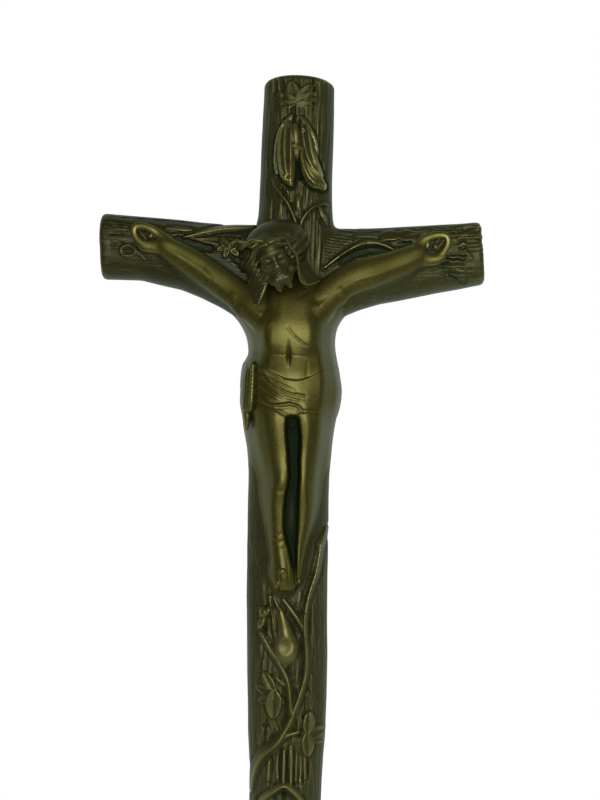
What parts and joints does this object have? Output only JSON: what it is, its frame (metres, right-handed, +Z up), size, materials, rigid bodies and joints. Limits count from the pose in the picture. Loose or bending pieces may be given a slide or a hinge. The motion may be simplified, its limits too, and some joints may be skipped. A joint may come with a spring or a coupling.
{
  "type": "processional cross",
  "caption": "Cast log-shaped processional cross with a corpus in high relief, vine castings, a closing rear plate and a staff socket with a thumbscrew.",
  "frame": {"origin": "centre of the mouth of the staff socket", "axes": "+Z up along the cross, -Y out of the front, +X to the viewer's right when facing the front"},
  "size_m": [0.258, 0.084, 0.606],
  "materials": {
    "dark_bronze": "cast bronze with a dark olive patina, semi-matte",
    "rubbed_bronze": "cast bronze, patina rubbed back to warm gold-brown on the high surfaces",
    "steel": "plain turned and drawn steel",
    "brass": "aged turned brass"
  },
  "bodies": {
    "cross": {"trunk_shell": "dark_bronze", "left_arm_shell": "dark_bronze", "right_arm_shell": "dark_bronze", "corpus_head": "rubbed_bronze", "left_hand_nail": "dark_bronze", "right_hand_nail": "dark_bronze", "foot_nail": "dark_bronze", "corpus_body": "rubbed_bronze", "corpus_left_arm": "rubbed_bronze", "corpus_right_arm": "rubbed_bronze", "loincloth": "rubbed_bronze", "loincloth_tail": "rubbed_bronze", "crown_of_thorns": "dark_bronze", "vine": "dark_bronze", "leaf_left": "dark_bronze", "leaf_right": "dark_bronze", "bud_left": "dark_bronze", "knot_drop": "dark_bronze", "bark_lip": "dark_bronze", "top_leaf": "dark_bronze", "husk_left": "dark_bronze", "husk_right": "dark_bronze", "top_stem_left": "dark_bronze", "top_stem_right": "dark_bronze", "top_bud": "dark_bronze", "arm_stem_left": "dark_bronze", "arm_leaf_left": "dark_bronze", "bark_knot_left": "dark_bronze", "tendril_right": "dark_bronze", "arm_leaf_right": "dark_bronze", "rear_plate": "dark_bronze", "plate_screw_top_left": "brass", "plate_screw_top_right": "brass", "plate_screw_arm_left": "brass", "plate_screw_arm_right": "brass", "plate_screw_middle_left": "brass", "plate_screw_middle_right": "brass", "plate_screw_foot_left": "brass", "plate_screw_foot_right": "brass", "core_tube": "steel", "tie_bar": "steel", "centre_bolt": "steel", "centre_nut": "steel", "tie_bar_bolt_left": "steel", "tie_bar_bolt_right": "steel", "top_bulkhead": "steel", "corpus_stud_upper": "steel", "corpus_nut_upper": "steel", "corpus_stud_lower": "steel", "corpus_nut_lower": "steel", "arm_stud_left": "steel", "arm_nut_left": "steel", "arm_stud_right": "steel", "arm_nut_right": "steel", "collar": "rubbed_bronze", "staff_socket": "rubbed_bronze", "socket_knop": "rubbed_bronze", "cross_pin": "steel"},
    "clamp_pad": {"clamp_pad": "brass"},
    "thumbscrew": {"thumbscrew": "brass"}
  },
  "joints": [
    {"name": "pad_slide", "type": "slide", "parent": "cross", "child": "clamp_pad", "axis": [0, -1, 0], "range_m": [0, 0.003]},
    {"name": "screw_turn", "type": "hinge", "parent": "clamp_pad", "child": "thumbscrew", "pos_m": [0, 0.03, 0.03], "axis": [0, -1, 0], "range_deg": [0, 864]}
  ],
  "couplings": [
    {"joint": "screw_turn", "follows": "pad_slide", "rad_per_m": 5026.5}
  ]
}
